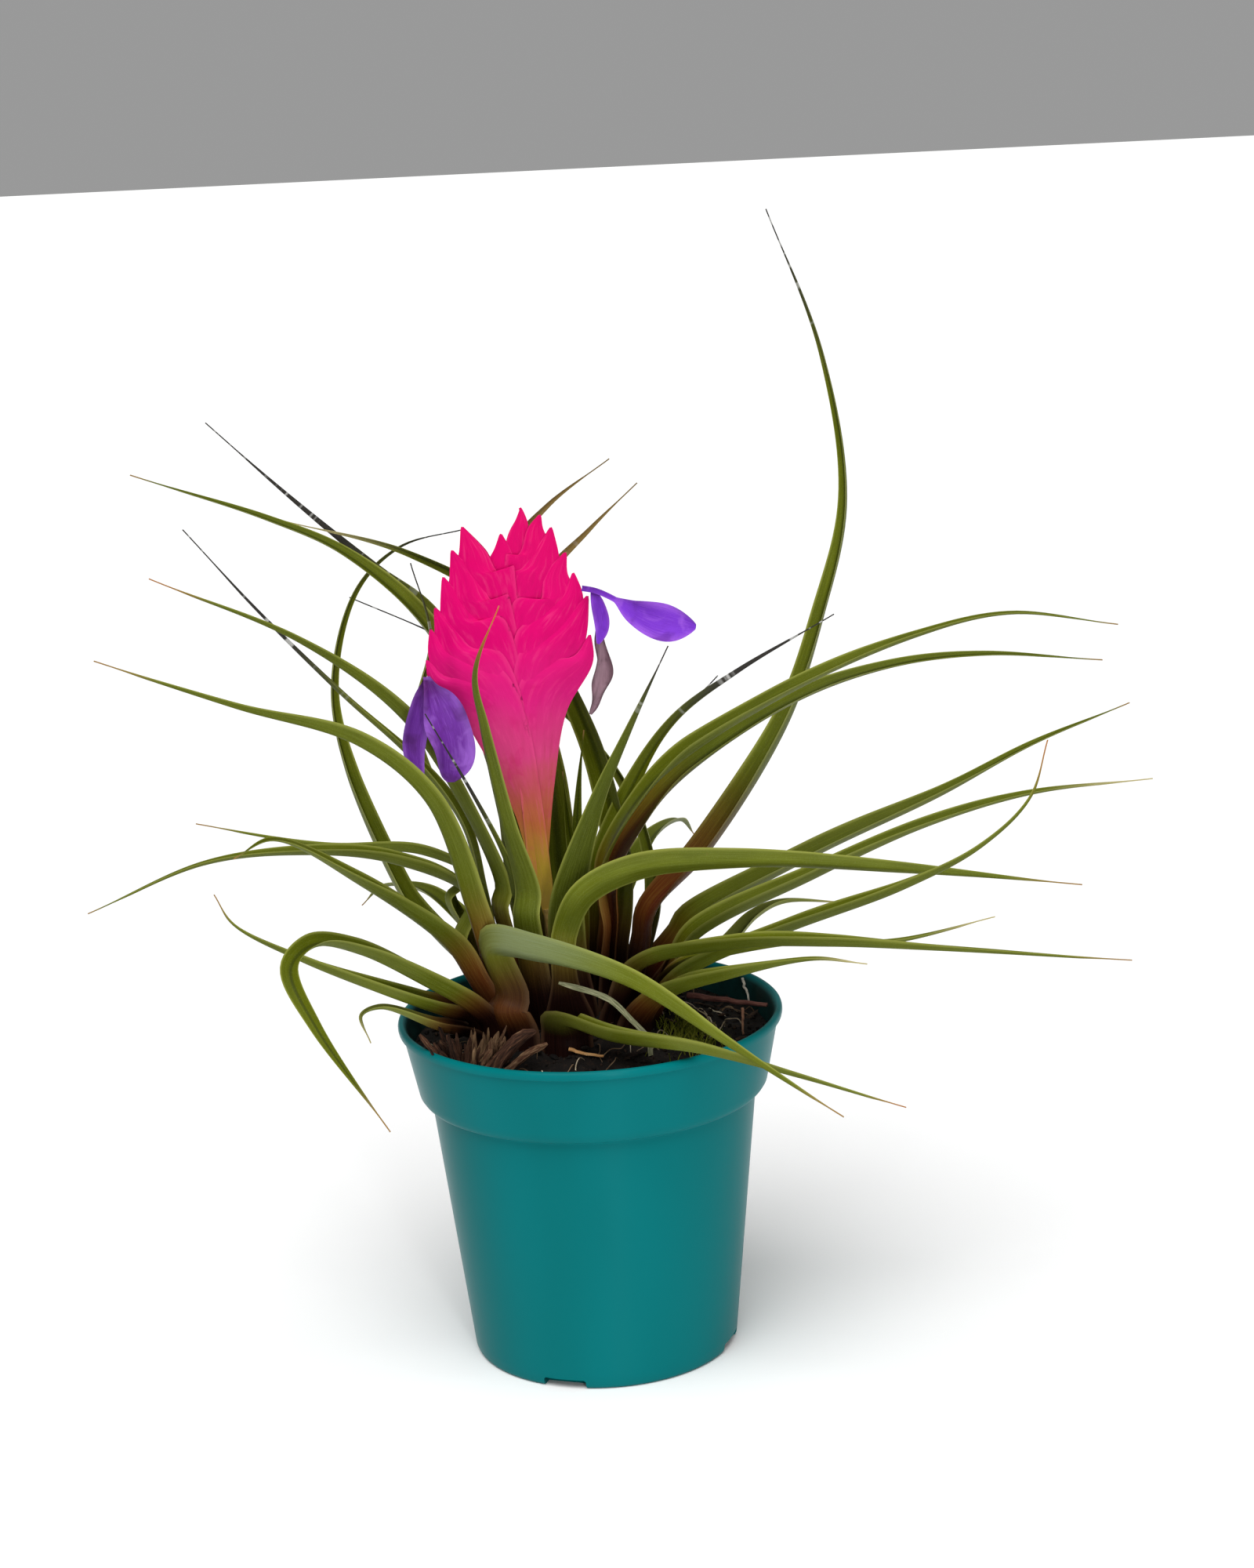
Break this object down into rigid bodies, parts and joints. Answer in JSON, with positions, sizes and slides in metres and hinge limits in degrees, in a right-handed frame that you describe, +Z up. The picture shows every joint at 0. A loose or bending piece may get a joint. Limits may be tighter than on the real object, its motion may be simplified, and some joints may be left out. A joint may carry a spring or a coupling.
{
  "type": "pink quill plant in pot",
  "caption": "Pink quill plant in a round nursery pot: arching narrow leaves around a flat pink flower head with violet flowers.",
  "frame": {"origin": "centre of the pot's flat base, on the surface it stands on", "axes": "+Z up along the pot's axis; -Y towards the front, the side the flat flower head faces; +X to the right seen from the front"},
  "size_m": [0.2731, 0.2063, 0.2893],
  "materials": {
    "pot_plastic": "satin moulded plastic",
    "soil": "dark crumbly potting mix",
    "crown_wood": "matt woody stem",
    "leaves": "satin leaf with fine scales",
    "scape": "satin green stem",
    "bracts": "satin papery bracts",
    "petals": "soft matt petals",
    "withered_petals": "dry crumpled petals",
    "dry_leaf": "dry matt leaf",
    "bark": "rough broken bark",
    "twig": "dry twig",
    "stick": "dry reddish stick",
    "root_thread": "dry pale root",
    "straw": "dry straw"
  },
  "bodies": {
    "root": {"pot": "pot_plastic", "soil": "soil", "crown": "crown_wood", "scape": "scape", "quill": "bracts", "flower_left": "petals", "flower_right": "petals", "flower_withered": "withered_petals", "dry_leaf": "dry_leaf", "bark_fan": "bark", "bark_curl": "bark", "twig": "twig", "stick": "stick", "root_thread": "root_thread", "straw": "straw", "leaf_01": "leaves", "leaf_02": "leaves", "leaf_03": "leaves", "leaf_04": "leaves", "leaf_05": "leaves", "leaf_06": "leaves", "leaf_07": "leaves", "leaf_08": "leaves", "leaf_09": "leaves", "leaf_10": "leaves", "leaf_11": "leaves", "leaf_12": "leaves", "leaf_13": "leaves", "leaf_14": "leaves", "leaf_15": "leaves", "leaf_16": "leaves", "leaf_17": "leaves", "leaf_18": "leaves", "leaf_19": "leaves", "leaf_20": "leaves", "leaf_21": "leaves", "leaf_22": "leaves", "leaf_23": "leaves", "leaf_24": "leaves", "leaf_25": "leaves", "leaf_26": "leaves", "leaf_27": "leaves", "leaf_28": "leaves", "leaf_29": "leaves", "leaf_30": "leaves", "leaf_31": "leaves", "leaf_32": "leaves", "leaf_33": "leaves", "leaf_34": "leaves", "leaf_35": "leaves", "leaf_36": "leaves", "leaf_37": "leaves", "leaf_38": "leaves", "leaf_39": "leaves", "leaf_40": "leaves"}
  },
  "joints": []
}
